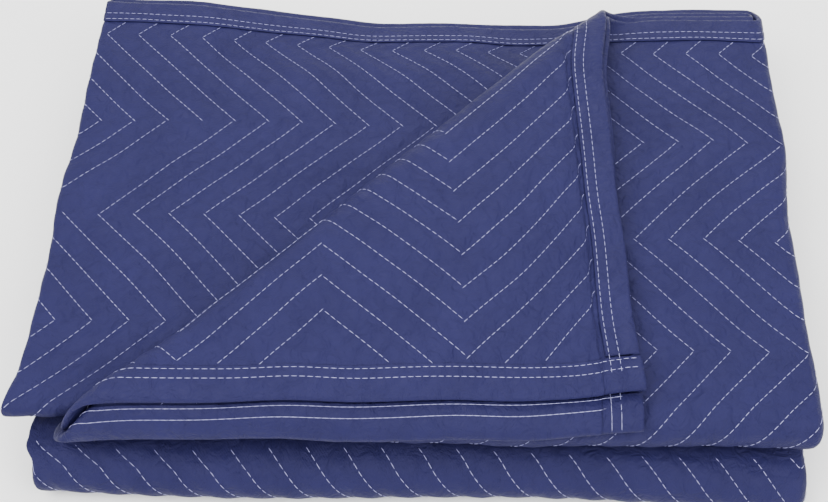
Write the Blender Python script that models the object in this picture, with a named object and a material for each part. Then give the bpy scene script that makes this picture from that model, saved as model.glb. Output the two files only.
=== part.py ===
"""Quilted moving blanket, folded in four across and in four along, with one corner turned back.

The blanket is drawn flat, cut along its folds and stitch rows, and then every point is carried
through the folds: across, the turned corner, along, and the soft settling of the pile.
Flat sizes: u runs across the blanket, v along it, and w through its thickness.
"""
import math

import bmesh
import bpy
from mathutils import Vector

# Cloth, in metres
SHEET_LENGTH = 1.219
PLY = 0.0044
LOFT = 0.0036
BAND_LOFT = 0.0008
STITCH_DEPTH = 0.0011
MERGE = 0.00001

# Zigzag quilting: the spacing of its lines, the length and the swing of each leg
PITCH = 0.02177
LEG = 3.59 * PITCH
SWING = 3.40 * PITCH
FIRST_APEX = 1.53 * PITCH
ZIGZAG_START = 0.0208

# Binding tape round the edge
TAPE_WIDTH = 0.0206
TAPE = 0.0006
TAPE_FOLD = 0.005
GAP = 0.0007
EDGE_ROOM = 0.0125
BAND_ROOM = 0.002
BAND_STEP = 0.003

# Folds across: four plies, with turns at the right and at the left
DECK = 4 * PLY
RIGHT_TURN = 0.2217
LEFT_TURN = -0.2221
OUTER_EDGE = -0.1961
INNER_EDGE = -0.1826

# Folds along: four decks, with turns at the front and the back
TOP_END = 0.1562
UPPER_FRONT = -0.1490
LOWER_FRONT = -0.1620
BACK_TURN = 0.1377
END_STAGGER = 1.89

# Corner turned back: the crease's place, slope and roundness
CREASE_X = 0.1434
CREASE_SLOPE = math.radians(46.0)
CREASE_LENGTH = 0.50
ROUND_BACK = 0.009
ROUND_FRONT = 0.0020
FLAP_REST = 0.004
FLAP_SPREAD = 0.0020
FLAP_EASE = 0.16

# Settling of the pile: how far its parts are drawn in, droop, lift and wander
LOWER_INSET = 0.0105
RIGHT_LEAN = 0.0050
LEFT_LEAN = 0.0030
EAR = 0.0055
BACK_DRAW = 0.0030
BACK_DROOP = 0.0030
CORNER_LIFT = 0.0025
FRONT_WANDER = 0.0020

# Colours
CLOTH_BLUE = (0.064, 0.071, 0.195, 1.0)
TAPE_BLUE = (0.058, 0.065, 0.180, 1.0)

# Folds across, worked out: the level of each ply and where its stretch ends in the flat sheet
LEVEL = {"outer": 1.5 * PLY, "inner": 0.5 * PLY, "third": -0.5 * PLY, "fourth": -1.5 * PLY}
END_OUTER = RIGHT_TURN - OUTER_EDGE
END_WIDE_TURN = END_OUTER + math.pi * 1.5 * PLY
END_FOURTH = END_WIDE_TURN + RIGHT_TURN - LEFT_TURN
END_LEFT_TURN = END_FOURTH + math.pi * 0.5 * PLY
END_THIRD = END_LEFT_TURN + RIGHT_TURN - LEFT_TURN
END_TIGHT_TURN = END_THIRD + math.pi * 0.5 * PLY
SHEET_WIDTH = END_TIGHT_TURN + RIGHT_TURN - INNER_EDGE
TOP_FACE = 2 * PLY
SEAT = (PLY - LOFT) / 2
TOP_LENGTH = TOP_END - UPPER_FRONT


def ease(value):
    """Smooth step from 0 to 1."""
    value = min(max(value, 0.0), 1.0)
    return value * value * (3 - 2 * value)


def bell(value):
    """Smooth hump that is 1 at 0 and fades past 1."""
    return math.exp(-value * value)


def fold_across(u):
    """Place across, level, and facing of the sheet's middle at u, for the four-ply fold."""
    if u < END_OUTER:
        return OUTER_EDGE + u, LEVEL["outer"], (0.0, 1.0)
    if u < END_WIDE_TURN:
        turn = (u - END_OUTER) / (1.5 * PLY)
        reach = 1.5 * PLY
        return RIGHT_TURN + reach * math.sin(turn), reach * math.cos(turn), (math.sin(turn), math.cos(turn))
    if u < END_FOURTH:
        return RIGHT_TURN - (u - END_WIDE_TURN), LEVEL["fourth"], (0.0, -1.0)
    if u < END_LEFT_TURN:
        turn = (u - END_FOURTH) / (0.5 * PLY)
        side, rise = math.sin(turn), math.cos(turn)
        return LEFT_TURN - 0.5 * PLY * side, -PLY - 0.5 * PLY * rise, (-side, -rise)
    if u < END_THIRD:
        return LEFT_TURN + (u - END_LEFT_TURN), LEVEL["third"], (0.0, 1.0)
    if u < END_TIGHT_TURN:
        turn = (u - END_THIRD) / (0.5 * PLY)
        side, rise = math.sin(turn), math.cos(turn)
        return RIGHT_TURN + 0.5 * PLY * side, -0.5 * PLY * rise, (-side, rise)
    return RIGHT_TURN - (u - END_TIGHT_TURN), LEVEL["inner"], (0.0, -1.0)


def on_free_ply(u):
    """True on the two plies whose corner is turned back."""
    return u < END_OUTER or u > END_TIGHT_TURN


def beyond_crease(x, run):
    """Distance past the crease, and distance along it from the back end."""
    side = x - CREASE_X
    past = -side * math.sin(CREASE_SLOPE) - run * math.cos(CREASE_SLOPE)
    along = -side * math.cos(CREASE_SLOPE) + run * math.sin(CREASE_SLOPE)
    return past, along


def crease_round(along, middle):
    """Inner radius of a ply's crease, tighter towards the front and wider for the inner ply."""
    spread = FLAP_SPREAD if middle < PLY else 0.0
    return ROUND_BACK + spread + (ROUND_FRONT - ROUND_BACK) * along / CREASE_LENGTH


def wrap_rate(middle):
    """How much farther the outer ply runs than this one for the same turn over the upper front."""
    return (DECK / 2 + LEVEL["outer"]) / (DECK / 2 + middle)


def turn_corner(x, run, level, middle):
    """Carries a point of the two free plies over the crease, if it lies past it."""
    rate = wrap_rate(middle)
    evened = run if run < TOP_LENGTH else TOP_LENGTH + (run - TOP_LENGTH) * rate
    past, along = beyond_crease(x, evened)
    if past <= 0:
        return x, run, level, middle
    inner = crease_round(along, middle)
    depth, depth_middle = TOP_FACE - level, TOP_FACE - middle
    reach = inner + depth_middle
    turn = past / reach
    if turn < math.pi:
        back = past - (inner + depth) * math.sin(turn)
        lift = inner - (inner + depth) * math.cos(turn)
        lift_middle = inner - reach * math.cos(turn)
    else:
        free = past - math.pi * reach
        back = past + free
        rest = FLAP_REST + (FLAP_SPREAD if middle < PLY else 0.0)
        air = 2 * inner + (rest - 2 * inner) * ease(free / FLAP_EASE)
        lift, lift_middle = air + depth, air + depth_middle
    x += back * math.sin(CREASE_SLOPE)
    run = evened + back * math.cos(CREASE_SLOPE)
    level, middle = TOP_FACE + lift, TOP_FACE + lift_middle
    if run > TOP_LENGTH:
        run = TOP_LENGTH + (run - TOP_LENGTH) / wrap_rate(min(middle, LEVEL["outer"]))
    return x, run, level, middle


def fold_along(run, level, middle):
    """Place along and height of a point at this run and level, for the four-deck fold."""
    run -= TOP_LENGTH
    if run < 0:
        return UPPER_FRONT - run, 3.5 * DECK + level
    if run < math.pi * (DECK / 2 + middle):
        turn = run / (DECK / 2 + middle)
        reach = DECK / 2 + level
        return UPPER_FRONT - reach * math.sin(turn), 3 * DECK + reach * math.cos(turn)
    run -= math.pi * (DECK / 2 + middle)
    if run < BACK_TURN - UPPER_FRONT:
        return UPPER_FRONT + run, 2.5 * DECK - level
    run -= BACK_TURN - UPPER_FRONT
    if run < math.pi * (DECK - middle):
        turn = run / (DECK - middle)
        reach = DECK - level
        return BACK_TURN + reach * math.sin(turn), 1.5 * DECK + reach * math.cos(turn)
    run -= math.pi * (DECK - middle)
    if run < BACK_TURN - LOWER_FRONT:
        return BACK_TURN - run, 0.5 * DECK + level
    run -= BACK_TURN - LOWER_FRONT
    if run < math.pi * (DECK / 2 - middle):
        turn = run / (DECK / 2 - middle)
        reach = DECK / 2 - level
        return LOWER_FRONT - reach * math.sin(turn), DECK - reach * math.cos(turn)
    run -= math.pi * (DECK / 2 - middle)
    return LOWER_FRONT + run, 1.5 * DECK - level


def settle(x, y, z):
    """Soft unevenness of the pile, which leaves its base flat."""
    upper = ease((z - 1.6 * DECK) / (0.8 * DECK))
    right, left = ease((x - 0.06) / 0.16), ease((-x - 0.08) / 0.14)
    side = -LOWER_INSET * (1 - upper) * x / RIGHT_TURN
    side -= RIGHT_LEAN * right * ease((0.05 - y) / 0.08) * upper
    side += LEFT_LEAN * left * bell((y + 0.085) / 0.05) * upper
    side -= EAR * left * bell((y + 0.165) / 0.025) * upper
    hang = ease((x + 0.20) / 0.16) * (1 - ease((x - 0.08) / 0.08))
    over = ease((y - 0.115) / 0.065)
    front = ease((-y - 0.10) / 0.06)
    wander = FRONT_WANDER * math.sin(x / 0.052 + 4 * upper) * front
    lift = CORNER_LIFT * ease((x - 0.085) / 0.035) * ease((-y - 0.09) / 0.05) * ease((z - 4.2 * DECK) / DECK)
    droop = BACK_DROOP * hang * over * ease((z - 1.5 * DECK) / (1.5 * DECK))
    return Vector((x + side, y + wander - BACK_DRAW * hang * over * upper, z - SEAT + lift - droop))


def place(u, v, w):
    """Carries a point of the flat blanket to its place in the folded one."""
    x, middle, facing = fold_across(u)
    run = v - END_STAGGER * (LEVEL["outer"] - middle)
    x += w * facing[0]
    level = middle + w * facing[1]
    if on_free_ply(u):
        x, run, level, middle = turn_corner(x, run, level, middle)
    y, z = fold_along(run, level, middle)
    return settle(x, y, z)


def leg_ends(middle):
    """Runs at which the decks and turns end, for a ply at this level."""
    ends = [TOP_LENGTH]
    ends.append(ends[-1] + math.pi * (DECK / 2 + middle))
    ends.append(ends[-1] + BACK_TURN - UPPER_FRONT)
    ends.append(ends[-1] + math.pi * (DECK - middle))
    ends.append(ends[-1] + BACK_TURN - LOWER_FRONT)
    ends.append(ends[-1] + math.pi * (DECK / 2 - middle))
    return ends


# Cuts: places across and along that every ply shares, and steps round each turn and the crease
ACROSS = (-0.140, -0.060, 0.025, 0.120)
TOP_ALONG = (0.075, 0.0, -0.075)
DECK_ALONG = (-0.050, 0.050)
TUCKED_ALONG = (-0.100, -0.035)
FRONT_STEPS = 10
TURN_STEPS = 6
WIDE_STEPS = 6
TIGHT_STEPS = 4
CREASE_STEPS = 6
INSET = TAPE_WIDTH + BAND_ROOM


def around(start, stop, steps):
    """Cuts round a turn, its start and stop among them."""
    return [start + (stop - start) * step / steps for step in range(steps + 1)]


def rows_along(u, ends):
    """Flat v of each row of cuts at this u, between the given values at both ends of the sheet."""
    middle = fold_across(u)[1]
    stagger = END_STAGGER * (LEVEL["outer"] - middle)
    turns = [end + stagger for end in leg_ends(middle)]
    rows = list(ends[0]) + [TOP_END - y + stagger for y in TOP_ALONG]
    rows += around(turns[0], turns[1], FRONT_STEPS) + [turns[1] + y - UPPER_FRONT for y in DECK_ALONG]
    rows += around(turns[2], turns[3], TURN_STEPS) + [turns[3] + BACK_TURN + y for y in DECK_ALONG]
    rows += around(turns[4], turns[5], TURN_STEPS) + [turns[5] + y - LOWER_FRONT for y in TUCKED_ALONG]
    return rows + list(ends[1])


def columns_across(ends):
    """Flat u of each column of cuts, between the given values at both edges of the sheet."""
    columns = list(ends[0]) + [x - OUTER_EDGE for x in ACROSS]
    columns += around(END_OUTER, END_WIDE_TURN, WIDE_STEPS)
    columns += [END_WIDE_TURN + RIGHT_TURN - x for x in reversed(ACROSS)]
    columns += around(END_FOURTH, END_LEFT_TURN, TIGHT_STEPS)
    columns += [END_LEFT_TURN + x - LEFT_TURN for x in ACROSS]
    columns += around(END_THIRD, END_TIGHT_TURN, TIGHT_STEPS)
    columns += [END_TIGHT_TURN + RIGHT_TURN - x for x in reversed(ACROSS)]
    return columns + list(ends[1])


def both_ends(size, near):
    """The given distances from an edge, from both edges of a sheet of this size."""
    return near, tuple(size - distance for distance in reversed(near))


def cut(bm, faces, point, normal):
    """Cuts the given faces by a plane, and returns the faces that take their place."""
    edges = {edge for face in faces for edge in face.edges}
    corners = {vert for face in faces for vert in face.verts}
    done = bmesh.ops.bisect_plane(bm, geom=list(faces) + list(edges) + list(corners), dist=MERGE,
                                  plane_co=point, plane_no=normal)
    return [item for item in done["geom"] if isinstance(item, bmesh.types.BMFace)]


def crease_lines(ply, rate):
    """Two flat points on each line where the crease of this ply bends, on the top deck or past it."""
    depth = TOP_FACE - LEVEL[ply]
    stagger = END_STAGGER * (LEVEL["outer"] - LEVEL[ply])
    lines = []
    for step in range(CREASE_STEPS + 1):
        pair = []
        for along in (0.0, CREASE_LENGTH):
            past = math.pi * step / CREASE_STEPS * (crease_round(along, LEVEL[ply]) + depth)
            x = CREASE_X - past * math.sin(CREASE_SLOPE) - along * math.cos(CREASE_SLOPE)
            run = -past * math.cos(CREASE_SLOPE) + along * math.sin(CREASE_SLOPE)
            run = TOP_LENGTH + (run - TOP_LENGTH) / rate
            u = x - OUTER_EDGE if ply == "outer" else END_TIGHT_TURN + RIGHT_TURN - x
            pair.append(Vector((u, run + stagger, 0.0)))
        lines.append(pair)
    return lines


def cut_crease(bm, ply):
    """Cuts the faces of a free ply where its corner bends over."""
    limit = END_OUTER if ply == "outer" else END_TIGHT_TURN
    front = TOP_LENGTH + END_STAGGER * (LEVEL["outer"] - LEVEL[ply])
    for rate, first, last in ((1.0, -1.0, front), (wrap_rate(LEVEL[ply]), front, SHEET_LENGTH / 2)):
        for start, stop in crease_lines(ply, rate):
            centres = ((face, face.calc_center_median()) for face in bm.faces)
            faces = [face for face, centre in centres
                     if (centre.x < limit) == (ply == "outer") and first < centre.y < last]
            direction = stop - start
            cut(bm, faces, start, Vector((direction.y, -direction.x, 0.0)))


def quilt_swing(v):
    """How far a zigzag line has swung at this v, from 0 at one row of apexes to 1 at the next."""
    leg = (v - FIRST_APEX) / LEG
    return abs(leg - 2 * math.floor(leg / 2 + 0.5))


def quilt_rise(u, v):
    """1 on a crest between two stitch lines and 0 on a line, in even slopes."""
    line = (u - ZIGZAG_START - SWING * quilt_swing(v)) / PITCH
    return 1 - abs(2 * (line - math.floor(line)) - 1)


def is_shown(u, v):
    """True where the face that carries the stitches is seen in the folded blanket."""
    if min(u, v, SHEET_WIDTH - u, SHEET_LENGTH - v) < INSET + BAND_STEP:
        return False
    x, middle, _ = fold_across(u)
    run = v - END_STAGGER * (LEVEL["outer"] - middle)
    ends = leg_ends(middle)
    past = beyond_crease(x, run)[0]
    if u < END_OUTER:
        return past < 0 and run < ends[1]
    if END_WIDE_TURN < u < END_FOURTH:
        return ends[2] < run < ends[3] or ends[4] < run < ends[5]
    if END_LEFT_TURN < u < END_THIRD:
        return run < ends[1] and past > -ROUND_BACK
    return u > END_TIGHT_TURN and run < ends[1] and past > 0


def cut_quilting(bm):
    """Cuts the shown faces along the stitch lines and along the crests between them."""
    bands = math.ceil((SHEET_LENGTH - FIRST_APEX) / LEG)

    def shown_faces():
        centres = ((face, face.calc_center_median()) for face in bm.faces)
        return [face for face, centre in centres if centre.z > 0.9 and is_shown(centre.x, centre.y)]

    for band in range(bands):
        cut(bm, shown_faces(), Vector((0.0, FIRST_APEX + band * LEG, 0.0)), Vector((0.0, 1.0, 0.0)))
    groups = {}
    zones = (END_OUTER, END_WIDE_TURN, END_FOURTH, END_LEFT_TURN, END_THIRD, END_TIGHT_TURN, SHEET_WIDTH)
    for face in shown_faces():
        centre = face.calc_center_median()
        band = math.floor((centre.y - FIRST_APEX) / LEG)
        zone = sum(centre.x > limit for limit in zones)
        groups.setdefault((band, zone), []).append(face)
    for (band, zone), faces in sorted(groups.items(), key=lambda item: item[0]):
        near, far = quilt_swing(FIRST_APEX + band * LEG), quilt_swing(FIRST_APEX + (band + 1) * LEG)
        spread = [vert.co.x for face in faces for vert in face.verts]
        line = math.floor((min(spread) - ZIGZAG_START - SWING) / PITCH * 2)
        while ZIGZAG_START + line * PITCH / 2 < max(spread):
            start = ZIGZAG_START + line * PITCH / 2 + SWING * near
            point = Vector((start, FIRST_APEX + band * LEG, 0.0))
            faces = cut(bm, faces, point, Vector((LEG, -SWING * (far - near), 0.0)))
            line += 1


def half_loft(u, v):
    """Half the panel's thickness: thin under the binding, full inside it."""
    edge = min(u, v, SHEET_WIDTH - u, SHEET_LENGTH - v)
    return BAND_LOFT / 2 if edge < INSET + MERGE else LOFT / 2


def start_grid(columns, rows_at):
    """A flat grid whose corners are moved to the given columns and rows."""
    bm = bmesh.new()
    rows = len(rows_at(columns[0]))
    bmesh.ops.create_grid(bm, x_segments=len(columns) - 1, y_segments=rows - 1, size=0.5)
    table = [rows_at(u) for u in columns]
    for vert in bm.verts:
        column = round((vert.co.x + 0.5) * (len(columns) - 1))
        row = round((vert.co.y + 0.5) * (rows - 1))
        vert.co = Vector((columns[column], table[column][row], 0.0))
    return bm


def thicken(bm):
    """Makes the flat grid a slab, with its stitch side at z 1 and its back at z 0."""
    done = bmesh.ops.extrude_face_region(bm, geom=bm.faces[:], use_keep_orig=True)
    raised = [item for item in done["geom"] if isinstance(item, bmesh.types.BMVert)]
    bmesh.ops.translate(bm, verts=raised, vec=Vector((0.0, 0.0, 1.0)))


def fold_mesh(bm, name, colour, roughness):
    """Carries every corner of a flat mesh through the folds and makes it an object."""
    bmesh.ops.triangulate(bm, faces=bm.faces[:])
    bmesh.ops.recalc_face_normals(bm, faces=bm.faces[:])
    for vert in bm.verts:
        vert.co = place(vert.co.x, vert.co.y, vert.co.z)
    if bm.calc_volume(signed=True) < 0:
        bmesh.ops.reverse_faces(bm, faces=bm.faces[:])
    mesh = bpy.data.meshes.new(name)
    bm.to_mesh(mesh)
    bm.free()
    material = bpy.data.materials.new(name)
    material.use_nodes = True
    shader = material.node_tree.nodes["Principled BSDF"]
    shader.inputs["Base Color"].default_value = colour
    shader.inputs["Roughness"].default_value = roughness
    mesh.materials.append(material)
    piece = bpy.data.objects.new(name, mesh)
    collection.objects.link(piece)


def build_panel():
    """The quilted panel: one sheet, thin at its bound edges, with its stitch lines sunk in."""
    near = (EDGE_ROOM, INSET, INSET + BAND_STEP)
    columns = columns_across(both_ends(SHEET_WIDTH, near))
    bm = start_grid(columns, lambda u: rows_along(u, both_ends(SHEET_LENGTH, near)))
    cut_crease(bm, "outer")
    cut_crease(bm, "inner")
    thicken(bm)
    cut_quilting(bm)
    sunk = {vert for face in bm.faces for vert in face.verts
            if vert.co.z > 0.9 and is_shown(*face.calc_center_median().xy)}
    for vert in bm.verts:
        loft = half_loft(vert.co.x, vert.co.y)
        if vert.co.z < 0.9:
            vert.co.z = -loft
        elif vert in sunk and loft > BAND_LOFT / 2:
            vert.co.z = loft - STITCH_DEPTH * (1 - quilt_rise(vert.co.x, vert.co.y))
        else:
            vert.co.z = loft
    fold_mesh(bm, "quilted_panel", CLOTH_BLUE, 0.75)


def tape_section():
    """The tape's section: distance in from the edge, and height, for a strip folded over the edge."""
    inner = BAND_LOFT / 2 + GAP
    outer = inner + TAPE
    bends = (0.0, TAPE_FOLD, EDGE_ROOM, TAPE_WIDTH)
    top = [(distance, outer) for distance in reversed(bends)]
    bottom = [(distance, -outer) for distance in bends]
    under = [(distance, -inner) for distance in reversed(bends[1:])]
    over = [(distance, inner) for distance in bends[1:]]
    return top + bottom + under + over


def extrude_tape(steps):
    """The tape's section drawn out along y, one unit for each step."""
    bm = bmesh.new()
    verts = [bm.verts.new((distance, 0.0, height)) for distance, height in tape_section()]
    ring = [bm.edges.new((vert, verts[index - 1])) for index, vert in enumerate(verts)]
    caps = [ring]
    for _ in range(steps):
        done = bmesh.ops.extrude_edge_only(bm, edges=ring)
        ring = [item for item in done["geom"] if isinstance(item, bmesh.types.BMEdge)]
        moved = [item for item in done["geom"] if isinstance(item, bmesh.types.BMVert)]
        bmesh.ops.translate(bm, verts=moved, vec=Vector((0.0, 1.0, 0.0)))
    caps.append(ring)
    for edges in caps:
        bmesh.ops.contextual_create(bm, geom=edges)
    return bm


def build_side_tape(ply):
    """The binding along one side edge of the sheet, from end to end."""
    u = 0.0 if ply == "outer" else SHEET_WIDTH
    rows = rows_along(u, both_ends(SHEET_LENGTH, (0.0, INSET, INSET + BAND_STEP)))
    bm = extrude_tape(len(rows) - 1)
    for vert in bm.verts:
        vert.co = Vector((abs(u - vert.co.x), rows[round(vert.co.y)], vert.co.z))
    cut_crease(bm, ply)
    fold_mesh(bm, "side_binding_" + ply, TAPE_BLUE, 0.7)


def build_end_tape(place_name, v):
    """The binding along one end of the sheet, between the side bindings."""
    columns = columns_across(both_ends(SHEET_WIDTH, (INSET, INSET + BAND_STEP)))
    bm = extrude_tape(len(columns) - 1)
    for vert in bm.verts:
        vert.co = Vector((columns[round(vert.co.y)], abs(v - vert.co.x), vert.co.z))
    cut_crease(bm, "outer")
    cut_crease(bm, "inner")
    fold_mesh(bm, "end_binding_" + place_name, TAPE_BLUE, 0.7)


def build_blanket():
    """All pieces of the folded blanket."""
    build_panel()
    build_side_tape("outer")
    build_side_tape("inner")
    build_end_tape("top", 0.0)
    build_end_tape("tucked", SHEET_LENGTH)


for old in list(bpy.data.objects):
    bpy.data.objects.remove(old, do_unlink=True)
collection = bpy.data.collections.new("folded_moving_blanket")
bpy.context.scene.collection.children.link(collection)
build_blanket()
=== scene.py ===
"""Looks of the folded moving blanket: quilted cloth, binding tapes, thread, floor, light and camera.

Each piece is drawn flat, where u runs across the blanket, v along it and w through its thickness,
and then carried through the same folds as the solids.
"""
import math

import bmesh
import bpy
import numpy as np
from mathutils import Matrix, Vector


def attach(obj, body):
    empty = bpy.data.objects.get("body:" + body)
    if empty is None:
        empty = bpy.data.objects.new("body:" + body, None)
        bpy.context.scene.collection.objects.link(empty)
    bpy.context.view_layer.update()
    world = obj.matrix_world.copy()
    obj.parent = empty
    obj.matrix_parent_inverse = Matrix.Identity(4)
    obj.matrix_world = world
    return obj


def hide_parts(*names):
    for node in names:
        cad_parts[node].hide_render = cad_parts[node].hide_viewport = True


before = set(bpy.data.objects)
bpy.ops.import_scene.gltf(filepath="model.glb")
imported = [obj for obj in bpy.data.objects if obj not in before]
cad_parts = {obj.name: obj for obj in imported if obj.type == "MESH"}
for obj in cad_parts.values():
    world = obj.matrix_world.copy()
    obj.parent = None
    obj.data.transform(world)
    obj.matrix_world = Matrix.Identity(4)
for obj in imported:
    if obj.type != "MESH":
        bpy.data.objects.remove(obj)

bl_info = {
    "name": "Folded moving blanket",
    "version": (1, 0, 0),
    "blender": (4, 5, 0),
    "location": "View3D > Sidebar > Blanket",
    "description": "Quilted moving blanket, folded into a pile with one corner turned back",
    "category": "Object",
}

# Cloth and folds, as in the solids, in metres
SHEET_LENGTH = 1.219
PLY = 0.0044
PITCH = 0.02177
LEG = 3.59 * PITCH
SWING = 3.40 * PITCH
FIRST_APEX = 1.53 * PITCH
ZIGZAG_START = 0.0208
TAPE_WIDTH = 0.0206
TAPE_ROWS = (0.59 * PITCH, 0.85 * PITCH)
DECK = 4 * PLY
RIGHT_TURN = 0.2217
LEFT_TURN = -0.2221
OUTER_EDGE = -0.1961
INNER_EDGE = -0.1898
TOP_END = 0.1562
UPPER_FRONT = -0.1490
LOWER_FRONT = -0.1620
BACK_TURN = 0.1377
END_STAGGER = 1.89
CREASE_X = 0.1434
CREASE_SLOPE = math.radians(46.0)
CREASE_LENGTH = 0.50
ROUND_BACK = 0.009
ROUND_FRONT = 0.0020
FLAP_REST = 0.004
FLAP_SPREAD = 0.0010
FLAP_EASE = 0.16
BAND_DRAW = 0.0045
END_DRAW = 0.0070
FLAP_SHIFT = 0.0060

# One leg of one quilting row on the left, which the photo shows as a groove without thread
SUNKEN_PLACE = (-0.177, 0.0135)
SUNKEN_DEPTH = 0.0018
SUNKEN_LINE = 40

# Where a panel ends inside its tapes, and the heights of its stitches over the cloth and the tape
PANEL_EDGE = 0.0125
THREAD_LIFT = 0.00035
TAPE_THREAD_LIFT = 0.00022

# Settling of the pile
LOWER_INSET = 0.0105
RIGHT_LEAN = 0.0050
LEFT_LEAN = 0.0030
EAR = 0.0055
BACK_DRAW = 0.0095
BACK_DROOP = 0.0090
CORNER_LIFT = 0.0060
FRONT_WANDER = 0.0020
LOWER_FORWARD = 0.0040
FRONT_TUCK = 0.0060
LOWER_RIGHT = 0.0025
SEAT = 0.0004
LOWEST = 0.0002

# Worked out: levels of the plies and where each stretch ends in the flat sheet
OUTER, INNER, THIRD, FOURTH = 1.5 * PLY, 0.5 * PLY, -0.5 * PLY, -1.5 * PLY
END_OUTER = RIGHT_TURN - OUTER_EDGE
END_WIDE_TURN = END_OUTER + math.pi * 1.5 * PLY
END_FOURTH = END_WIDE_TURN + RIGHT_TURN - LEFT_TURN
END_LEFT_TURN = END_FOURTH + math.pi * 0.5 * PLY
END_THIRD = END_LEFT_TURN + RIGHT_TURN - LEFT_TURN
END_TIGHT_TURN = END_THIRD + math.pi * 0.5 * PLY
SHEET_WIDTH = END_TIGHT_TURN + RIGHT_TURN - INNER_EDGE
TOP_LENGTH = TOP_END - UPPER_FRONT
TOP_FACE = 2 * PLY

# Camera, from the photo's vanishing lines: focal length in image widths, tilt, turn and distance
IMAGE_WIDTH = 828
FOCAL = 1290.6 / IMAGE_WIDTH
TILT = 0.933
YAW = 0.031
DISTANCE = 35.98 * PITCH
TARGET = (-0.225 * PITCH + 0.0014, -1.66 * PITCH + 0.0008, 4 * DECK - 0.75 * PITCH)


def ease(value):
    """Smooth step from 0 to 1."""
    value = np.clip(value, 0.0, 1.0)
    return value * value * (3 - 2 * value)


def bell(value):
    """Smooth hump that is 1 at 0 and fades past 1."""
    return np.exp(-value * value)


def ripples(x, y, size, seed):
    """A smooth uneven field from -1 to 1, whose humps are about this size."""
    total = np.zeros_like(x)
    for wave in range(7):
        angle = seed * 1.7 + wave * 2.39996
        stretch = (0.75 + 0.11 * wave) * math.pi / size
        along = x * math.cos(angle) + y * math.sin(angle)
        total += np.sin(along * stretch + seed * 3.1 + wave * wave)
    return total / 4.0


def fold_across(u):
    """Place across, level, and facing of the sheet's middle at u."""
    wide = np.clip((u - END_OUTER) / (1.5 * PLY), 0, math.pi)
    left = np.clip((u - END_FOURTH) / (0.5 * PLY), 0, math.pi)
    tight = np.clip((u - END_THIRD) / (0.5 * PLY), 0, math.pi)
    zones = [u < END_OUTER, u < END_WIDE_TURN, u < END_FOURTH, u < END_LEFT_TURN, u < END_THIRD,
             u < END_TIGHT_TURN]
    flat = np.zeros_like(u)
    x = np.select(zones, [OUTER_EDGE + u, RIGHT_TURN + 1.5 * PLY * np.sin(wide),
                          RIGHT_TURN - (u - END_WIDE_TURN), LEFT_TURN - 0.5 * PLY * np.sin(left),
                          LEFT_TURN + (u - END_LEFT_TURN), RIGHT_TURN + 0.5 * PLY * np.sin(tight)],
                  RIGHT_TURN - (u - END_TIGHT_TURN))
    middle = np.select(zones, [flat + OUTER, 1.5 * PLY * np.cos(wide), flat + FOURTH,
                               -PLY - 0.5 * PLY * np.cos(left), flat + THIRD, -0.5 * PLY * np.cos(tight)],
                       INNER)
    side = np.select(zones, [flat, np.sin(wide), flat, -np.sin(left), flat, -np.sin(tight)], 0.0)
    rise = np.select(zones, [flat + 1, np.cos(wide), flat - 1, -np.cos(left), flat + 1, np.cos(tight)], -1.0)
    return x, middle, side, rise


def wrap_rate(middle):
    """How much farther the outer ply runs than this one for the same turn over the upper front."""
    return (DECK / 2 + OUTER) / (DECK / 2 + middle)


def beyond_crease(x, run):
    """Distance past the crease, and distance along it from the back end."""
    side = x - CREASE_X
    past = -side * math.sin(CREASE_SLOPE) - run * math.cos(CREASE_SLOPE)
    along = -side * math.cos(CREASE_SLOPE) + run * math.sin(CREASE_SLOPE)
    return past, along


def evened_run(run, middle):
    """Run of a free ply's point, evened out so that both plies share one crease round the front."""
    return np.where(run < TOP_LENGTH, run, TOP_LENGTH + (run - TOP_LENGTH) * wrap_rate(middle))


def before_turning(u, v):
    """A flat point's ply level, run and distance past the crease, as it lies before the corner is turned back."""
    x, middle, _, _ = fold_across(u)
    run = v - END_STAGGER * (OUTER - middle)
    past, _ = beyond_crease(x, evened_run(run, middle))
    return middle, run, past


def turn_corner(x, run, level, middle, free_ply):
    """Carries the points of the two free plies over the crease, where they lie past it."""
    evened = evened_run(run, middle)
    past, along = beyond_crease(x, evened)
    moved = free_ply & (past > 0)
    past = np.maximum(past, 0.0)
    spread = np.where(middle < PLY, FLAP_SPREAD, 0.0)
    inner = ROUND_BACK + spread + (ROUND_FRONT - ROUND_BACK) * along / CREASE_LENGTH
    depth, depth_middle = TOP_FACE - level, TOP_FACE - middle
    reach = inner + depth_middle
    turn = np.minimum(past / reach, math.pi)
    free = np.maximum(past - math.pi * reach, 0.0)
    air = 2 * inner + (FLAP_REST + spread - 2 * inner) * ease(free / FLAP_EASE)
    flat = past > math.pi * reach
    back = np.where(flat, past + free, past - (inner + depth) * np.sin(turn))
    lift = np.where(flat, air + depth, inner - (inner + depth) * np.cos(turn))
    lift_middle = np.where(flat, air + depth_middle, inner - reach * np.cos(turn))
    new_run = evened + back * math.cos(CREASE_SLOPE)
    new_middle = TOP_FACE + lift_middle
    beyond = new_run > TOP_LENGTH
    rate = wrap_rate(np.minimum(new_middle, OUTER))
    new_run = np.where(beyond, TOP_LENGTH + (new_run - TOP_LENGTH) / rate, new_run)
    drawn = BAND_DRAW * ease(free / 0.22) * (middle > PLY)
    return (np.where(moved, x + back * math.sin(CREASE_SLOPE) - drawn, x), np.where(moved, new_run, run),
            np.where(moved, TOP_FACE + lift, level), np.where(moved, new_middle, middle))


def fold_ends(middle):
    """Runs at which each stretch of the four-deck fold ends, for the ply at this level."""
    lengths = (TOP_LENGTH, math.pi * (DECK / 2 + middle), BACK_TURN - UPPER_FRONT, math.pi * (DECK - middle),
               BACK_TURN - LOWER_FRONT, math.pi * (DECK / 2 - middle))
    ends = [lengths[0]]
    for length in lengths[1:]:
        ends.append(ends[-1] + length)
    return ends


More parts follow.
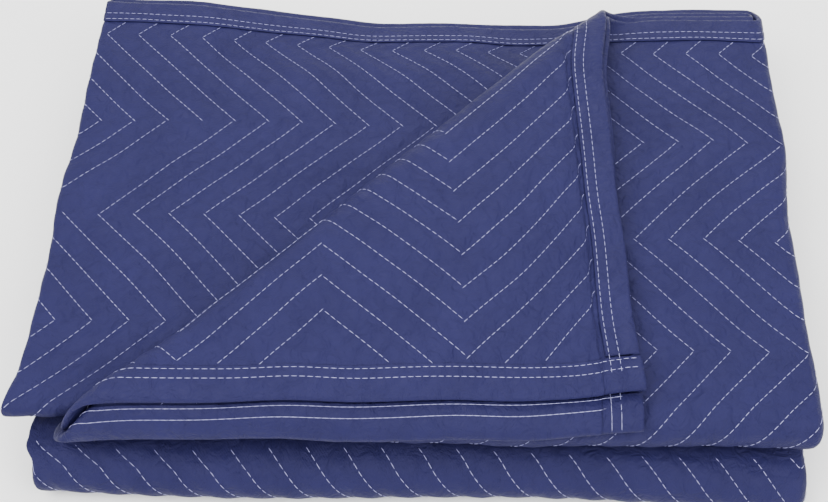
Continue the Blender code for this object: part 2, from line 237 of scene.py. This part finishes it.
def fold_along(run, level, middle):
    """Place along and height at this run and level, for the four-deck fold."""
    rest = [run - end for end in fold_ends(middle)]
    zones = [part < 0 for part in rest]
    first = rest[0] / (DECK / 2 + middle)
    second = rest[2] / (DECK - middle)
    third = rest[4] / (DECK / 2 - middle)
    y = np.select(zones, [UPPER_FRONT - rest[0], UPPER_FRONT - (DECK / 2 + level) * np.sin(first),
                          UPPER_FRONT + rest[1], BACK_TURN + (DECK - level) * np.sin(second),
                          BACK_TURN - rest[3], LOWER_FRONT - (DECK / 2 - level) * np.sin(third)],
                  LOWER_FRONT + rest[5])
    z = np.select(zones, [3.5 * DECK + level, 3 * DECK + (DECK / 2 + level) * np.cos(first),
                          2.5 * DECK - level, 1.5 * DECK + (DECK - level) * np.cos(second),
                          0.5 * DECK + level, DECK - (DECK / 2 - level) * np.cos(third)],
                  1.5 * DECK - level)
    return y, z


def settle(x, y, z):
    """Soft unevenness of the pile, which leaves its base flat."""
    upper = ease((z - 1.6 * DECK) / (0.8 * DECK))
    right, left = ease((x - 0.06) / 0.16), ease((-x - 0.08) / 0.14)
    # Sideways: the lower half drawn in, the upper half leaning, and the ear at its front left
    side = -LOWER_INSET * (1 - upper) * x / RIGHT_TURN
    side -= RIGHT_LEAN * right * ease((0.05 - y) / 0.08) * upper
    side += LEFT_LEAN * left * bell((y + 0.085) / 0.05) * upper
    side -= EAR * left * bell((y + 0.165) / 0.025) * upper
    # Back edge of the upper half, which hangs between its two corners
    hang = ease((x + 0.20) / 0.16) * (1 - ease((x - 0.08) / 0.08))
    over = ease((y - 0.100) / 0.075)
    # Front: the lower half forward at the left, the upper half tucked in underneath
    forward = LOWER_FORWARD * (1 - upper) * ease((-x - 0.02) / 0.2) * ease((-y - 0.05) / 0.1)
    front = ease((-y - 0.10) / 0.06)
    tuck = FRONT_TUCK * ease((-y - 0.12) / 0.04) * bell((z - 2.3 * DECK) / (0.75 * DECK))
    side += LOWER_RIGHT * right * (1 - upper)
    # Groove at the left, along a line at 45 degrees
    crossing = 0.707 * (x - SUNKEN_PLACE[0]) - 0.707 * (y - SUNKEN_PLACE[1])
    along = 0.707 * (x - SUNKEN_PLACE[0]) + 0.707 * (y - SUNKEN_PLACE[1])
    sunken = SUNKEN_DEPTH * bell(crossing / 0.006) * bell(along / 0.05) * ease((z - 3 * DECK) / DECK)
    wander = FRONT_WANDER * np.sin(x / 0.052 + 4 * upper) * front
    lift = CORNER_LIFT * ease((x - 0.085) / 0.035) * ease((-y - 0.09) / 0.05) * ease((z - 4.2 * DECK) / DECK)
    droop = BACK_DROOP * hang * over * ease((z - 1.5 * DECK) / (1.5 * DECK))
    above = ease((z - 0.4 * DECK) / (2.5 * DECK))
    uneven = bpy.context.scene.blanket.wrinkle_height * above
    waves = ripples(x, y, 0.060, 2.0) + 0.5 * ripples(x, y, 0.026, 5.0)
    side += 0.8 * uneven * ripples(y, z, 0.045, 3.0)
    wander += 0.8 * uneven * ripples(x, z, 0.045, 7.0)
    height = z - SEAT + lift - droop - sunken + uneven * waves
    return np.stack([x + side, y + wander + tuck - forward - BACK_DRAW * hang * over * upper,
                     np.maximum(height, LOWEST)], axis=-1)


def place(flat):
    """Carries flat points (u, v, w) to their places in the folded blanket."""
    u, v, w = flat[:, 0], flat[:, 1], flat[:, 2]
    x, middle, side, rise = fold_across(u)
    run = v - END_STAGGER * (OUTER - middle)
    x = x + w * side
    level = middle + w * rise
    free_ply = (u < END_OUTER) | (u > END_TIGHT_TURN)
    past = beyond_crease(x, run)[0]
    turned_back = free_ply & (past > 0)
    x, run, level, middle = turn_corner(x, run, level, middle, free_ply)
    x = x - turned_back * END_DRAW * ease((0.034 - v) / 0.013) * ease((run - 0.02) / 0.06)
    x = x + turned_back * FLAP_SHIFT * ease((v - 0.018) / 0.070) * ease((past - 0.02) / 0.10)
    y, z = fold_along(run, level, middle)
    return settle(x, y, z)


def quilt_swing(v):
    """How far a zigzag line has swung at this v, from 0 at one row of apexes to 1 at the next."""
    leg = (v - FIRST_APEX) / LEG
    return np.abs(leg - 2 * np.floor(leg / 2 + 0.5))


def edge_distance(u, v):
    """Distance in from the nearest edge of the sheet."""
    return np.minimum(np.minimum(u, SHEET_WIDTH - u), np.minimum(v, SHEET_LENGTH - v))


def cloth_rise(u, v):
    """Half the panel's thickness: puffed between stitch rows, drawn in on them and under the tape."""
    props = bpy.context.scene.blanket
    line = (u - ZIGZAG_START - SWING * quilt_swing(v)) / PITCH
    crest = 1 - np.abs(2 * (line - np.floor(line)) - 1)
    puff = 0.45 * np.sin(crest * math.pi / 2) + 0.55 * ease(crest)
    full = props.puff_height * (1 + 0.10 * ripples(u, v, 0.018, 1.0))
    low = props.line_height
    # Less puff round the two outer turns, whose outlines are nearly smooth
    full = full - 0.0007 * bell((u - END_OUTER / 2 - END_WIDE_TURN / 2) / 0.018)
    full = full - 0.0005 * bell((u - END_FOURTH / 2 - END_LEFT_TURN / 2) / 0.012)
    inside = ease((edge_distance(u, v) - TAPE_WIDTH + 0.002) / 0.007)
    return 0.0004 + (low + (full - low) * puff - 0.0004) * inside


def shown_limit(u, v, front):
    """Longest edge that a mesh may have at each flat point: short where the cloth is seen."""
    middle, run, past = before_turning(u, v)
    ends = fold_ends(middle)
    outer, inner = u < END_OUTER, u > END_TIGHT_TURN
    third = (u > END_LEFT_TURN) & (u < END_THIRD)
    fourth = (u > END_WIDE_TURN) & (u < END_FOURTH)
    turned = (u >= END_OUTER) & (u <= END_WIDE_TURN) | (u >= END_FOURTH) & (u <= END_LEFT_TURN)
    top = run < ends[1]
    fine = outer & top & (past < 0.03) | inner & top & (past > -0.005)
    fine |= third & top & (past > -0.02) | fourth & (run > ends[4]) & (run < ends[5])
    behind = outer & top & (past > 0) & (u < 0.05)
    fine |= behind
    medium = turned | fourth & (run > ends[2]) & (run < ends[3])
    coarse = fourth & (run > ends[3]) & (run < ends[4])
    limit = np.full_like(u, 1.0)
    limit[coarse & front] = 0.0058
    limit[medium & front] = 0.0046
    limit[fine & front] = 0.0028
    limit[behind & ~front] = 0.0030
    return limit


def crease_limit(u, v):
    """Longest edge by the crease of the two free plies, where coarse faces would cut through the next ply."""
    _, _, past = before_turning(u, v)
    free_ply = (u < END_OUTER) | (u > END_TIGHT_TURN)
    near = free_ply & (past > -0.01) & (past < 0.07) & (v < TOP_LENGTH + 0.1)
    return np.where(near, 0.0058, 1.0)


def evenly(start, stop, step):
    """Values from start to stop, about one step apart."""
    count = max(1, math.ceil((stop - start) / step))
    return [start + (stop - start) * index / count for index in range(count + 1)]


def columns_across(step):
    """Flat u of each column of the sheet's starting grid."""
    inset = TAPE_WIDTH + 0.006
    stops = [(PANEL_EDGE, inset, 0.007), (inset, END_OUTER, step), (END_OUTER, END_WIDE_TURN, 0.0026),
             (END_WIDE_TURN, END_FOURTH, step), (END_FOURTH, END_LEFT_TURN, 0.0012),
             (END_LEFT_TURN, END_THIRD, step), (END_THIRD, END_TIGHT_TURN, 0.0018),
             (END_TIGHT_TURN, SHEET_WIDTH - inset, step),
             (SHEET_WIDTH - inset, SHEET_WIDTH - PANEL_EDGE, 0.007)]
    columns = [PANEL_EDGE]
    for start, stop, size in stops:
        columns += evenly(start, stop, size)[1:]
    return columns


def rows_along(u, step):
    """Flat v of each row of the sheet's starting grid at this u."""
    middle = float(fold_across(np.array([u]))[1][0])
    stagger = END_STAGGER * (OUTER - middle)
    inset = TAPE_WIDTH + 0.006
    edge = SHEET_LENGTH - inset
    turns = [end + stagger for end in fold_ends(middle)]
    stops = [(PANEL_EDGE, inset, 2), (inset, turns[0], round(0.29 / step)), (turns[0], turns[1], 10),
             (turns[1], turns[2], round(0.29 / step)), (turns[2], turns[3], 12),
             (turns[3], turns[4], round(0.29 / step)), (turns[4], turns[5], 10),
             (turns[5], edge, round(0.15 / step)), (edge, SHEET_LENGTH - PANEL_EDGE, 2)]
    rows = [PANEL_EDGE]
    for start, stop, count in stops:
        rows += [start + (stop - start) * (index + 1) / count for index in range(count)]
    return rows


def flat_grid(columns, rows_at):
    """A flat grid whose corners are moved to the given columns and rows."""
    bm = bmesh.new()
    table = [rows_at(u) for u in columns]
    rows = len(table[0])
    bmesh.ops.create_grid(bm, x_segments=len(columns) - 1, y_segments=rows - 1, size=0.5)
    for vert in bm.verts:
        column = round((vert.co.x + 0.5) * (len(columns) - 1))
        row = round((vert.co.y + 0.5) * (rows - 1))
        vert.co = Vector((columns[column], table[column][row], 0.0))
    return bm


def refine(bm):
    """Halves the edges that are longer than their place allows, until none is."""
    while True:
        edges = [edge for edge in bm.edges if not edge.tag]
        ends = np.array([(*edge.verts[0].co, *edge.verts[1].co) for edge in edges])
        middle = (ends[:, :3] + ends[:, 3:]) / 2
        length = np.linalg.norm(ends[:, :2] - ends[:, 3:5], axis=1)
        limit = shown_limit(middle[:, 0], middle[:, 1], middle[:, 2] > 0.6)
        limit = np.minimum(limit, crease_limit(middle[:, 0], middle[:, 1]))
        chosen = [edge for edge, size, most in zip(edges, length, limit) if size > most]
        if not chosen:
            return
        for edge in edges:
            edge.tag = True
        for edge in chosen:
            edge.tag = False
        bmesh.ops.subdivide_edges(bm, edges=chosen, cuts=1, use_grid_fill=True)
        for edge in bm.edges:
            edge.tag = False


def fold_piece(bm, name, rise=None):
    """Keeps each corner's flat place as its UV, folds the mesh and makes it a riding object."""
    bmesh.ops.recalc_face_normals(bm, faces=bm.faces[:])
    bm.verts.ensure_lookup_table()
    flat = np.array([vert.co[:] for vert in bm.verts])
    if rise is not None:
        flat = rise(flat)
    layer = bm.loops.layers.uv.new("flat")
    for face in bm.faces:
        face.smooth = True
        for loop in face.loops:
            loop[layer].uv = flat[loop.vert.index, :2]
    placed = place(flat)
    for vert, co in zip(bm.verts, placed.tolist()):
        vert.co = co
    if bm.calc_volume(signed=True) < 0:
        bmesh.ops.reverse_faces(bm, faces=bm.faces[:])
    mesh = bpy.data.meshes.new(name)
    bm.to_mesh(mesh)
    bm.free()
    piece = bpy.data.objects.new(name, mesh)
    bpy.context.scene.collection.objects.link(piece)
    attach(piece, "root")
    return piece


def linear(colour):
    """A linear colour with full alpha from an sRGB hex value."""
    parts = [int(colour[index:index + 2], 16) / 255 for index in (1, 3, 5)]
    return [part / 12.92 if part <= 0.04045 else ((part + 0.055) / 1.055) ** 2.4 for part in parts] + [1.0]


def add_node(tree, kind, settings=None, values=None, links=None):
    """Adds a node with its settings, socket values and incoming links."""
    node = tree.nodes.new(kind)
    for name, value in (settings or {}).items():
        setattr(node, name, value)
    for name, value in (values or {}).items():
        node.inputs[name].default_value = value
    for name, source in (links or {}).items():
        tree.links.new(source, node.inputs[name])
    return node


def cloth_material(name, dark, light, emboss, roughness):
    """Spunbond polypropylene cloth: matt, slightly shiny on its pressed dots, finely creased."""
    material = bpy.data.materials.new(name)
    material.use_nodes = True
    tree = material.node_tree
    shader = tree.nodes["Principled BSDF"]
    shader.inputs["Roughness"].default_value = roughness
    shader.inputs["IOR"].default_value = 1.49
    shader.inputs["Specular IOR Level"].default_value = 0.10
    place_on = add_node(tree, "ShaderNodeUVMap", {"uv_map": "flat"})
    blotch = add_node(tree, "ShaderNodeTexNoise", values={"Scale": 28.0, "Detail": 3.0},
                      links={"Vector": place_on.outputs["UV"]})
    fibre = add_node(tree, "ShaderNodeTexNoise", values={"Scale": 900.0, "Detail": 2.0},
                     links={"Vector": place_on.outputs["UV"]})
    blend = add_node(tree, "ShaderNodeMix", {"data_type": "RGBA"},
                     links={"Factor": blotch.outputs["Fac"]})
    blend.inputs["A"].default_value = linear(dark)
    blend.inputs["B"].default_value = linear(light)
    tree.links.new(blend.outputs["Result"], shader.inputs["Base Color"])
    # Pressed dots every 1.15 mm in both ways, which is near the finest the render can show
    turned = add_node(tree, "ShaderNodeMapping", values={"Rotation": (0, 0, math.radians(45)),
                                                         "Scale": (870.0, 870.0, 1.0)},
                      links={"Vector": place_on.outputs["UV"]})
    dots = add_node(tree, "ShaderNodeTexVoronoi", {"feature": "F1"}, {"Scale": 1.0, "Randomness": 0.15},
                    {"Vector": turned.outputs["Vector"]})
    creases = add_node(tree, "ShaderNodeTexNoise", values={"Scale": 130.0, "Detail": 4.0, "Roughness": 0.6,
                                                           "Distortion": 0.8},
                       links={"Vector": place_on.outputs["UV"]})
    pressed = add_node(tree, "ShaderNodeBump", values={"Strength": 0.5, "Distance": emboss},
                       links={"Height": dots.outputs["Distance"]})
    grain = add_node(tree, "ShaderNodeBump", values={"Strength": 0.25, "Distance": 0.0002},
                     links={"Height": fibre.outputs["Fac"], "Normal": pressed.outputs["Normal"]})
    creased = add_node(tree, "ShaderNodeBump", values={"Strength": 0.8, "Distance": 0.0034},
                       links={"Height": creases.outputs["Fac"], "Normal": grain.outputs["Normal"]})
    tree.links.new(creased.outputs["Normal"], shader.inputs["Normal"])
    return material


def thread_material(name, colour):
    """Spun polyester sewing thread: off-white, soft, with a fine twist."""
    material = bpy.data.materials.new(name)
    material.use_nodes = True
    tree = material.node_tree
    shader = tree.nodes["Principled BSDF"]
    shader.inputs["Base Color"].default_value = linear(colour)
    shader.inputs["Roughness"].default_value = 0.6
    place_on = add_node(tree, "ShaderNodeUVMap", {"uv_map": "flat"})
    twist = add_node(tree, "ShaderNodeTexWave", values={"Scale": 1400.0, "Distortion": 1.0},
                     links={"Vector": place_on.outputs["UV"]})
    bump = add_node(tree, "ShaderNodeBump", values={"Strength": 0.4, "Distance": 0.0001},
                    links={"Height": twist.outputs["Fac"]})
    tree.links.new(bump.outputs["Normal"], shader.inputs["Normal"])
    return material


def plain_material(name, colour, roughness):
    """Matt painted studio floor, with a trace of unevenness."""
    material = bpy.data.materials.new(name)
    material.use_nodes = True
    tree = material.node_tree
    shader = tree.nodes["Principled BSDF"]
    shader.inputs["Roughness"].default_value = roughness
    where = add_node(tree, "ShaderNodeTexCoord")
    tone = add_node(tree, "ShaderNodeTexNoise", values={"Scale": 3.0}, links={"Vector": where.outputs["Object"]})
    blend = add_node(tree, "ShaderNodeMix", {"data_type": "RGBA"}, links={"Factor": tone.outputs["Fac"]})
    blend.inputs["A"].default_value = linear(colour)
    blend.inputs["B"].default_value = [value * 0.985 for value in linear(colour)]
    tree.links.new(blend.outputs["Result"], shader.inputs["Base Color"])
    return material


def tape_height(distance):
    """Height of the tape's outer face over the sheet's middle at each distance from the edge."""
    fold = 0.0019 * np.sqrt(np.clip(distance / 0.0022, 0, 1))
    rows = sum(0.00035 * bell((distance - row) / 0.0013) for row in TAPE_ROWS)
    return fold - rows - 0.0003 * ease((distance - 0.0190) / 0.0016)


def tape_section():
    """Distances in from the edge, and heights, round the section of a tape folded over the edge."""
    outer = np.array([0.0, 0.0004, 0.0013, 0.0026, 0.0055, 0.0085, 0.0111, 0.0128, 0.0145, 0.0163, 0.0185,
                      0.0198, TAPE_WIDTH])
    height = tape_height(outer)
    top = list(zip(outer[::-1], height[::-1]))
    bottom = list(zip(outer[1:], -height[1:]))
    inner = [(TAPE_WIDTH, -0.0009), (0.0128, -0.0009), (0.006, -0.0009), (0.006, 0.0009), (0.0128, 0.0009),
             (TAPE_WIDTH, 0.0009)]
    return top + bottom + inner


def extrude_tape(stations):
    """The tape's section drawn out along y through the given stations."""
    bm = bmesh.new()
    verts = [bm.verts.new((distance, stations[0], height)) for distance, height in tape_section()]
    ring = [bm.edges.new((vert, verts[index - 1])) for index, vert in enumerate(verts)]
    caps = [ring]
    for near, far in zip(stations, stations[1:]):
        done = bmesh.ops.extrude_edge_only(bm, edges=ring)
        ring = [item for item in done["geom"] if isinstance(item, bmesh.types.BMEdge)]
        moved = [item for item in done["geom"] if isinstance(item, bmesh.types.BMVert)]
        bmesh.ops.translate(bm, verts=moved, vec=Vector((0.0, far - near, 0.0)))
    caps.append(ring)
    for edges in caps:
        bmesh.ops.contextual_create(bm, geom=edges)
    return bm


def pucker(flat, along):
    """Draws a tape in and out a little along its length, as its stitches do."""
    waves = 1 + 0.10 * ripples(flat[:, along], flat[:, 2], 0.006, 4.0) + 0.08 * ripples(
        flat[:, along], flat[:, 2], 0.021, 6.0)
    flat[:, 2] *= waves
    return flat


def side_tape(ply):
    """One side binding, from end to end of the sheet."""
    bm = extrude_tape(evenly(0.0, SHEET_LENGTH, 0.0020))
    u = 0.0 if ply == "outer" else SHEET_WIDTH
    for vert in bm.verts:
        vert.co.x = abs(u - vert.co.x)
    piece = fold_piece(bm, "binding_side_" + ply, lambda flat: pucker(flat, 1))
    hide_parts("side_binding_" + ply)
    return piece


def end_tape(which, v):
    """One end binding, between the side bindings."""
    inset = TAPE_WIDTH + 0.0012
    bm = extrude_tape(evenly(inset, SHEET_WIDTH - inset, 0.0034))
    for vert in bm.verts:
        vert.co = Vector((vert.co.y, abs(v - vert.co.x), vert.co.z))
    piece = fold_piece(bm, "binding_end_" + which, lambda flat: pucker(flat, 0))
    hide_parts("end_binding_" + which)
    return piece


def row_points(path, step):
    """Points along a flat path, one stitch apart, with the path's direction at each."""
    path = np.array(path)
    legs = np.diff(path, axis=0)
    lengths = np.linalg.norm(legs, axis=1)
    reach = np.concatenate([[0.0], np.cumsum(lengths)])
    at = np.arange(step / 2, reach[-1], step)
    leg = np.clip(np.searchsorted(reach, at) - 1, 0, len(legs) - 1)
    way = legs[leg] / lengths[leg][:, None]
    return path[leg] + way * (at - reach[leg])[:, None], way


def quilt_paths():
    """Flat corner points of every zigzag row of the quilting."""
    low, high = TAPE_WIDTH + 0.0005, SHEET_LENGTH - TAPE_WIDTH - 0.0005
    corners = [low] + [FIRST_APEX + leg * LEG for leg in range(20) if low < FIRST_APEX + leg * LEG < high]
    corners.append(high)
    swings = quilt_swing(np.array(corners))
    first = math.ceil((-SWING - ZIGZAG_START) / PITCH)
    last = math.floor((SHEET_WIDTH - TAPE_WIDTH - 0.024 - ZIGZAG_START) / PITCH)
    for line in range(first, last + 1):
        yield [(ZIGZAG_START + line * PITCH + SWING * swing, v) for swing, v in zip(swings, corners)]


def tape_paths():
    """Flat corner points of the two stitch rows of every binding."""
    for distance, start in zip(TAPE_ROWS, (TAPE_WIDTH + 0.001, 0.012)):
        yield [(distance, start), (distance, SHEET_LENGTH - 0.004)]
        yield [(SHEET_WIDTH - distance, 0.003), (SHEET_WIDTH - distance, SHEET_LENGTH - 0.004)]
        for v in (distance, SHEET_LENGTH - distance):
            yield [(0.002, v), (SHEET_WIDTH - 0.009, v)]


def tape_seen(u, v, front):
    """True where a stitch of a binding can be seen from outside the pile."""
    middle, run, past = before_turning(u, v)
    first = TOP_LENGTH + math.pi * (DECK / 2 + middle)
    free_ply = (u < END_OUTER) | (u > END_TIGHT_TURN)
    third = (u > END_LEFT_TURN) & (u < END_THIRD)
    if front:
        return (run < first) & ((u < END_OUTER) & (past < 0.02) | free_ply & (u > END_TIGHT_TURN) & (past > -0.01)
                                | third & (past > -0.02) | (u < END_WIDE_TURN) & (u > END_OUTER))
    return (run < first) & free_ply & (past > -0.01)


def sew(name, spots, ways, heights, facing, length, thickness):
    """One mesh of stitches: a slim grain of thread at each spot, lying along the row."""
    bm = bmesh.new()
    bmesh.ops.create_uvsphere(bm, u_segments=4, v_segments=5, radius=1.0,
                              matrix=Matrix.Rotation(math.pi / 2, 4, "Y"))
    grain = np.array([vert.co[:] for vert in bm.verts]) * (length / 2, thickness, thickness)
    stitch = bpy.data.meshes.new("stitch")
    bm.to_mesh(stitch)
    for _ in spots[1:]:
        bm.from_mesh(stitch)
    bpy.data.meshes.remove(stitch)
    across = np.stack([-ways[:, 1], ways[:, 0]], axis=-1)
    flat = np.empty((len(spots), len(grain), 3))
    flat[:, :, :2] = (spots[:, None] + ways[:, None] * grain[None, :, :1]
                      + across[:, None] * grain[None, :, 1:2])
    flat[:, :, 2] = facing * heights[:, None] + grain[None, :, 2]
    flat = flat.reshape(-1, 3)
    piece = fold_piece(bm, name, lambda _: flat)
    return piece


class BlanketLooks(bpy.types.PropertyGroup):
    """Sizes and colours of the blanket."""
    puff_height: bpy.props.FloatProperty(name="Puff height", description="Half thickness between stitch rows",
                                         default=0.00185, unit="LENGTH")
    line_height: bpy.props.FloatProperty(name="Line height", description="Half thickness on a stitch row",
                                         default=0.0008, unit="LENGTH")
    wrinkle_height: bpy.props.FloatProperty(name="Wrinkle height", description="Height of the soft wrinkles",
                                            default=0.0011, unit="LENGTH")
    stitch: bpy.props.FloatProperty(name="Stitch", description="Length of one stitch with its gap",
                                    default=0.0042, unit="LENGTH")
    thread: bpy.props.FloatProperty(name="Thread", description="Half thickness of the thread",
                                    default=0.00018, unit="LENGTH")
    floor_size: bpy.props.FloatProperty(name="Floor size", description="Side of the studio floor",
                                        default=8.0, unit="LENGTH")
    light: bpy.props.FloatProperty(name="Light", description="Power of the main soft light",
                                   default=50.0, unit="POWER")
    cloth_dark: bpy.props.StringProperty(name="Cloth, dark", description="Darker tone of the cloth, sRGB hex",
                                         default="#1a193c")
    cloth_light: bpy.props.StringProperty(name="Cloth, light", description="Lighter tone of the cloth, sRGB hex",
                                          default="#222148")
    thread_colour: bpy.props.StringProperty(name="Thread colour", description="Sewing thread, sRGB hex",
                                            default="#9c9ccb")
    floor_colour: bpy.props.StringProperty(name="Floor colour", description="Studio floor, sRGB hex",
                                           default="#fdfdfd")


class BLANKET_OT_cloth(bpy.types.Operator):
    """Makes the quilted panel and its four bindings"""
    bl_idname = "blanket.cloth"
    bl_label = "Quilted panel and bindings"

    def execute(self, context):
        props = context.scene.blanket
        cloth = cloth_material("nonwoven_cloth", props.cloth_dark, props.cloth_light, 0.00045, 0.55)
        tape_cloth = cloth_material("binding_tape", props.cloth_dark, props.cloth_light, 0.00030, 0.50)
        bm = flat_grid(columns_across(0.022), lambda u: rows_along(u, 0.022))
        done = bmesh.ops.extrude_face_region(bm, geom=bm.faces[:], use_keep_orig=True)
        raised = [item for item in done["geom"] if isinstance(item, bmesh.types.BMVert)]
        bmesh.ops.translate(bm, verts=raised, vec=Vector((0.0, 0.0, 1.0)))
        refine(bm)

        def rise(flat):
            half = cloth_rise(flat[:, 0], flat[:, 1])
            flat[:, 2] = (2 * flat[:, 2] - 1) * half
            return flat

        panel = fold_piece(bm, "panel_quilted", rise)
        panel.data.materials.append(cloth)
        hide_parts("quilted_panel")
        tapes = [side_tape("outer"), side_tape("inner"), end_tape("top", 0.0), end_tape("tucked", SHEET_LENGTH)]
        for tape in tapes:
            tape.data.materials.append(tape_cloth)
        return {"FINISHED"}


class BLANKET_OT_thread(bpy.types.Operator):
    """Makes the stitches of the quilting and of the bindings"""
    bl_idname = "blanket.thread"
    bl_label = "Stitches"

    def execute(self, context):
        props = context.scene.blanket
        thread = thread_material("sewing_thread", props.thread_colour)
        spots, ways = [np.concatenate(part) for part in
                       zip(*(row_points(path, props.stitch) for path in quilt_paths()))]
        # On the turned-back corner the rows run straight on to the end tape
        straight = (spots[:, 0] > END_TIGHT_TURN) & (spots[:, 1] < FIRST_APEX)
        spots[straight, 0] -= 2 * SWING * quilt_swing(spots[straight, 1])
        ways[straight, 0] *= -1
        u, v = spots[:, 0], spots[:, 1]
        inside = (edge_distance(u, v) > TAPE_WIDTH + 0.001) & (u < SHEET_WIDTH - TAPE_WIDTH - 0.001)
        line = np.round((u - ZIGZAG_START - SWING * quilt_swing(v)) / PITCH)
        inside &= (line != SUNKEN_LINE) | (v < FIRST_APEX + LEG) | (v > FIRST_APEX + 2 * LEG)
        limit = shown_limit(u, v, np.full(len(u), True))
        heights = cloth_rise(u, v) + THREAD_LIFT
        pieces = []
        for name, chosen in (("stitches_top", inside & (limit < 0.004)),
                             ("stitches_low", inside & (limit > 0.004) & (limit < 0.01))):
            pieces.append(sew(name, spots[chosen], ways[chosen], heights[chosen], 1, 0.82 * props.stitch,
                              props.thread))
        back = inside & (shown_limit(u, v, np.full(len(u), False)) < 0.01)
        pieces.append(sew("stitches_chain", spots[back], ways[back], heights[back], -1, 1.15 * props.stitch,
                          props.thread))
        spots, ways = [np.concatenate(part) for part in
                       zip(*(row_points(path, props.stitch) for path in tape_paths()))]
        u, v = spots[:, 0], spots[:, 1]
        heights = tape_height(edge_distance(u, v)) + TAPE_THREAD_LIFT
        for name, facing, length in (("stitches_binding", 1, 0.82), ("stitches_binding_chain", -1, 1.15)):
            chosen = tape_seen(u, v, facing > 0)
            pieces.append(sew(name, spots[chosen], ways[chosen], heights[chosen], facing, length * props.stitch,
                              props.thread))
        for piece in pieces:
            piece.data.materials.append(thread)
        return {"FINISHED"}


class BLANKET_OT_stage(bpy.types.Operator):
    """Makes the floor, the lights and the camera"""
    bl_idname = "blanket.stage"
    bl_label = "Floor, lights and camera"

    def execute(self, context):
        props = context.scene.blanket
        bm = bmesh.new()
        bmesh.ops.create_grid(bm, x_segments=2, y_segments=2, size=props.floor_size / 2)
        mesh = bpy.data.meshes.new("studio_floor")
        bm.to_mesh(mesh)
        bm.free()
        floor = bpy.data.objects.new("studio_floor", mesh)
        context.scene.collection.objects.link(floor)
        mesh.materials.append(plain_material("matt_floor_paint", props.floor_colour, 0.7))
        for name, spot, size, power in (("key", (-0.9, -0.7, 1.7), 1.3, 1.0), ("fill", (1.2, -0.9, 1.4), 1.4, 0.7),
                                        ("back", (0.1, 1.3, 1.5), 1.2, 0.6)):
            lamp = bpy.data.lights.new("soft_" + name, "AREA")
            lamp.energy = props.light * power
            lamp.size = size
            light = bpy.data.objects.new("soft_" + name, lamp)
            light.location = spot
            light.rotation_euler = (-Vector(spot)).to_track_quat("-Z", "Y").to_euler()
            context.scene.collection.objects.link(light)
        world = bpy.data.worlds.new("studio")
        world.use_nodes = True
        world.node_tree.nodes["Background"].inputs["Color"].default_value = (1.0, 1.0, 1.0, 1.0)
        world.node_tree.nodes["Background"].inputs["Strength"].default_value = 1.3
        context.scene.world = world
        back = Vector((math.sin(YAW) * math.cos(TILT), -math.cos(YAW) * math.cos(TILT), math.sin(TILT)))
        right = Vector((math.cos(YAW), math.sin(YAW), 0.0))
        up = back.cross(right)
        lens = bpy.data.cameras.new("photo_camera")
        lens.sensor_width = 36.0
        lens.lens = FOCAL * lens.sensor_width
        camera = bpy.data.objects.new("photo_camera", lens)
        turn = Matrix((right, up, back)).transposed().to_4x4()
        camera.matrix_world = Matrix.Translation(Vector(TARGET) + back * DISTANCE) @ turn
        context.scene.collection.objects.link(camera)
        context.scene.camera = camera
        return {"FINISHED"}


class BLANKET_PT_pieces(bpy.types.Panel):
    """Lists the pieces and their sizes in the 3D view's sidebar"""
    bl_label = "Folded moving blanket"
    bl_idname = "BLANKET_PT_pieces"
    bl_space_type = "VIEW_3D"
    bl_region_type = "UI"
    bl_category = "Blanket"

    def draw(self, context):
        for name in BlanketLooks.__annotations__:
            self.layout.prop(context.scene.blanket, name)
        for operator in OPERATORS:
            self.layout.operator(operator.bl_idname)


OPERATORS = (BLANKET_OT_cloth, BLANKET_OT_thread, BLANKET_OT_stage)
CLASSES = (BlanketLooks, *OPERATORS, BLANKET_PT_pieces)


def register():
    """Registers the classes and hangs the sizes on the scene."""
    for item in CLASSES:
        bpy.utils.register_class(item)
    bpy.types.Scene.blanket = bpy.props.PointerProperty(type=BlanketLooks)


def unregister():
    """Takes the classes out again."""
    del bpy.types.Scene.blanket
    for item in reversed(CLASSES):
        bpy.utils.unregister_class(item)


def main():
    """Makes the whole scene."""
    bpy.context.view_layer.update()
    register()
    bpy.ops.blanket.cloth()
    bpy.ops.blanket.thread()
    bpy.ops.blanket.stage()


if __name__ == "__main__":
    main()
